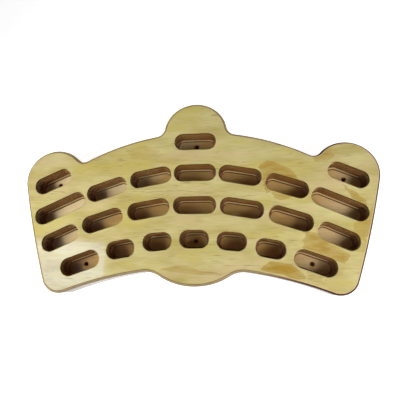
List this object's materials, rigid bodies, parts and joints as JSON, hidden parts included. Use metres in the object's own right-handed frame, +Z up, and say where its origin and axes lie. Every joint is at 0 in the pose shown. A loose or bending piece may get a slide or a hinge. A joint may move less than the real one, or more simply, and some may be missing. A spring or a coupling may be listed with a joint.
{
  "type": "hangboard",
  "caption": "Arched plywood climbing hangboard with a top lobe, two ears and rows of slotted finger pockets, screwed flat to a wall or door header.",
  "frame": {"origin": "on the wall face, on the board's mirror line, level with the middle of its third pocket from the top", "axes": "+X to the right as a climber faces the board, +Y into the wall, +Z up; the pockets open towards -Y"},
  "size_m": [0.634, 0.0397, 0.3457],
  "materials": {
    "face_veneer": "satin clear lacquer over pale pine face veneer",
    "long_grain_veneer": "satin clear lacquer over long-grain veneer edges",
    "crossband_veneer": "satin clear lacquer over darker end grain"
  },
  "bodies": {
    "root": {"front_sheet_face": "face_veneer", "front_sheet_crossband_outer": "crossband_veneer", "front_sheet_core": "long_grain_veneer", "front_sheet_crossband_inner": "crossband_veneer", "front_sheet_back": "long_grain_veneer", "rear_sheet_face": "long_grain_veneer", "rear_sheet_crossband_outer": "crossband_veneer", "rear_sheet_core": "long_grain_veneer", "rear_sheet_crossband_inner": "crossband_veneer", "rear_sheet_wall_face": "face_veneer"}
  },
  "joints": []
}
